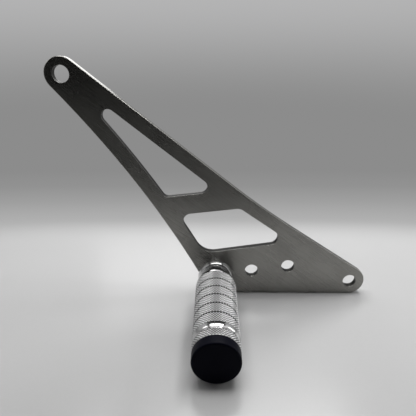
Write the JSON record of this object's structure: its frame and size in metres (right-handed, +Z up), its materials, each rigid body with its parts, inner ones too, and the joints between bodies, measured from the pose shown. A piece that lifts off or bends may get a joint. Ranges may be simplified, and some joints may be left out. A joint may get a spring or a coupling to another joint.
{
  "type": "footpeg bracket",
  "caption": "Flat steel side plate with triangular cut-outs and round fixing holes, carrying a knurled aluminium footpeg that is bolted on near its lower front corner.",
  "frame": {"origin": "centre of the tail hole on the plate's rear face, where the plate meets the motorbike's frame boss", "axes": "+X along the plate's straight bottom edge, from the peg end towards the tail hole; +Y out of the plate's rear face, towards the motorbike; +Z up; the peg sticks out along -Y"},
  "size_m": [0.1911, 0.0972, 0.1464],
  "materials": {
    "plate_steel": "finely brushed along the upper edge, slightly dull",
    "peg_aluminium": "turned and diamond knurled, polished on the shoulder and the cove",
    "cap_plastic": "black moulded plastic with a soft satin sheen",
    "fastener_steel": "bright zinc plated",
    "insert_plastic": "natural nylon"
  },
  "bodies": {
    "root": {"bracket_plate": "plate_steel", "peg_body": "peg_aluminium", "end_cap": "cap_plastic", "peg_bolt": "fastener_steel", "plate_washer": "fastener_steel", "lock_nut": "fastener_steel", "nut_insert": "insert_plastic"}
  },
  "joints": []
}
